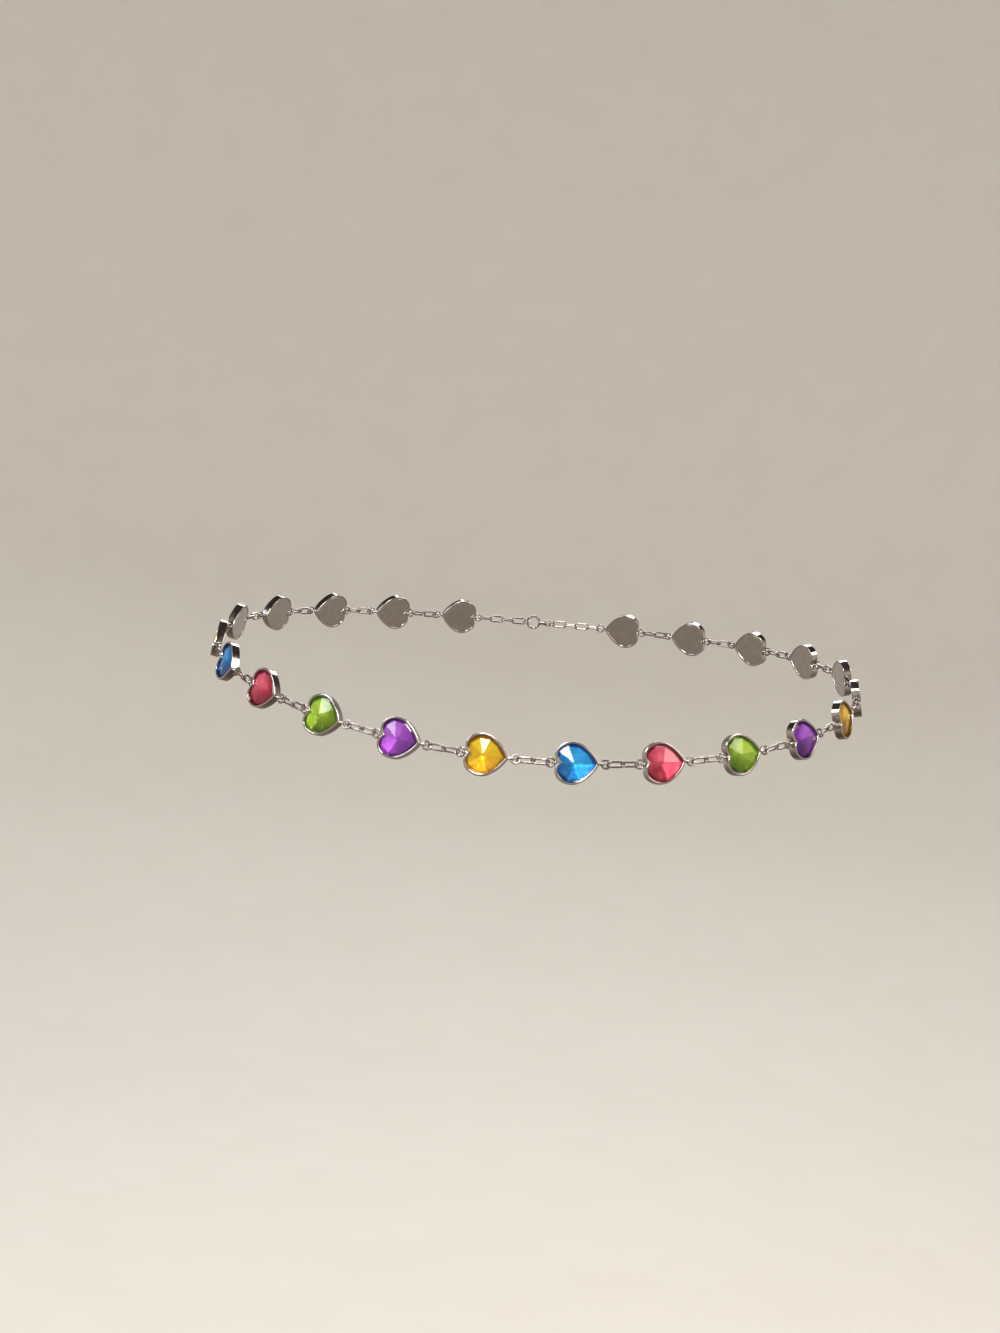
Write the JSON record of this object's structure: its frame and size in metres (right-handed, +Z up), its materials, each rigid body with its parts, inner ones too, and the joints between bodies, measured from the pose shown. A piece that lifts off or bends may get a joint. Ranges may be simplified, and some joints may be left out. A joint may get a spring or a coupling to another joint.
{
  "type": "waist chain",
  "caption": "Waist chain of cut glass hearts in polished metal bezels, joined by short runs of rings and oval links and closed by a plain clasp, in its worn shape.",
  "frame": {"origin": "middle of the waist that the chain is worn round, halfway between its lowest and highest run", "axes": "+Z up the wearer's body, -Y towards the front of the waist, +X to the side that the hearts' points lead to at the front"},
  "size_m": [0.2813, 0.2311, 0.0543],
  "materials": {
    "setting_metal": "polished rhodium-toned plating",
    "link_metal": "polished rhodium-toned plating",
    "yellow_glass": "cut and foil-backed",
    "blue_glass": "cut and foil-backed",
    "red_glass": "cut and foil-backed",
    "green_glass": "cut and foil-backed",
    "purple_glass": "cut and foil-backed"
  },
  "bodies": {
    "root": {"heart_setting_01": "setting_metal", "heart_setting_02": "setting_metal", "heart_setting_03": "setting_metal", "heart_setting_04": "setting_metal", "heart_setting_05": "setting_metal", "heart_setting_06": "setting_metal", "heart_setting_07": "setting_metal", "heart_setting_08": "setting_metal", "heart_setting_09": "setting_metal", "heart_setting_10": "setting_metal", "heart_setting_11": "setting_metal", "heart_setting_12": "setting_metal", "heart_setting_13": "setting_metal", "heart_setting_14": "setting_metal", "heart_setting_15": "setting_metal", "heart_setting_16": "setting_metal", "heart_setting_17": "setting_metal", "heart_setting_18": "setting_metal", "heart_setting_19": "setting_metal", "heart_setting_20": "setting_metal", "heart_setting_21": "setting_metal", "heart_setting_22": "setting_metal", "heart_stone_01": "yellow_glass", "heart_stone_02": "blue_glass", "heart_stone_03": "red_glass", "heart_stone_04": "green_glass", "heart_stone_05": "purple_glass", "heart_stone_06": "yellow_glass", "heart_stone_07": "blue_glass", "heart_stone_08": "red_glass", "heart_stone_09": "green_glass", "heart_stone_10": "purple_glass", "heart_stone_11": "yellow_glass", "heart_stone_12": "blue_glass", "heart_stone_13": "red_glass", "heart_stone_14": "green_glass", "heart_stone_15": "purple_glass", "heart_stone_16": "yellow_glass", "heart_stone_17": "blue_glass", "heart_stone_18": "red_glass", "heart_stone_19": "green_glass", "heart_stone_20": "purple_glass", "heart_stone_21": "yellow_glass", "heart_stone_22": "blue_glass", "link_chain_left": "link_metal", "link_chain_right": "link_metal", "clasp": "link_metal"}
  },
  "joints": []
}
